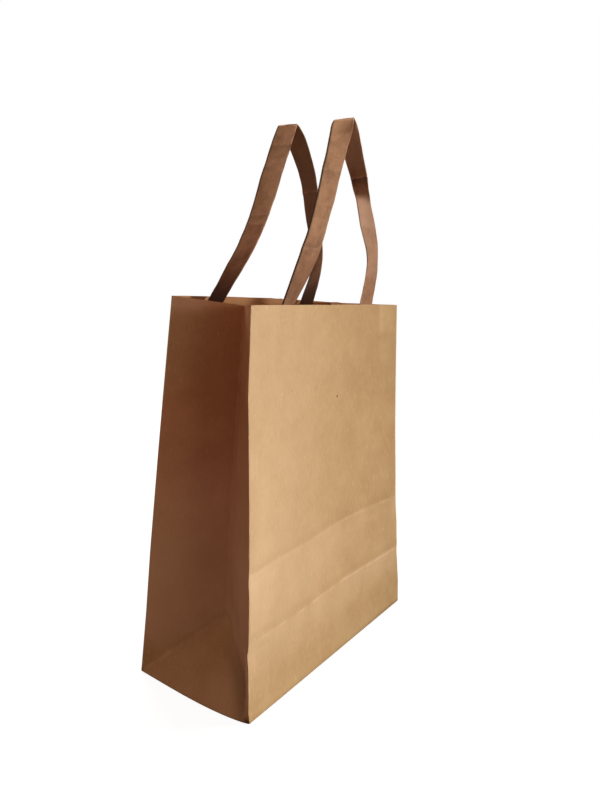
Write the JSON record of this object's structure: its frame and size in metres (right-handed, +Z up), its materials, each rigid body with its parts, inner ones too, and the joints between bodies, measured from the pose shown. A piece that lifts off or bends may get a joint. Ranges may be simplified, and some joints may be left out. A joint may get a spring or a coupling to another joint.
{
  "type": "kraft paper carrier bag",
  "caption": "Upright brown kraft paper carrier bag with tucked side gussets, a folded block bottom and flat folded paper strap handles, open at the top for goods.",
  "frame": {"origin": "middle of the base, on the outer base flap that the bag stands on", "axes": "+Z up towards the handles, +X along the width to the right of the front wall, +Y from the front wall to the back wall"},
  "size_m": [0.2484, 0.1407, 0.4806],
  "materials": {
    "kraft_sheet": "matte brown paper with fine upright fibres and pale worn folds",
    "kraft_strap": "matte darker brown paper folded into a flat strap",
    "kraft_patch": "matte brown paper"
  },
  "bodies": {
    "root": {"bag_body": "kraft_sheet", "front_handle": "kraft_strap", "back_handle": "kraft_strap", "front_handle_patch": "kraft_patch", "back_handle_patch": "kraft_patch"}
  },
  "joints": []
}
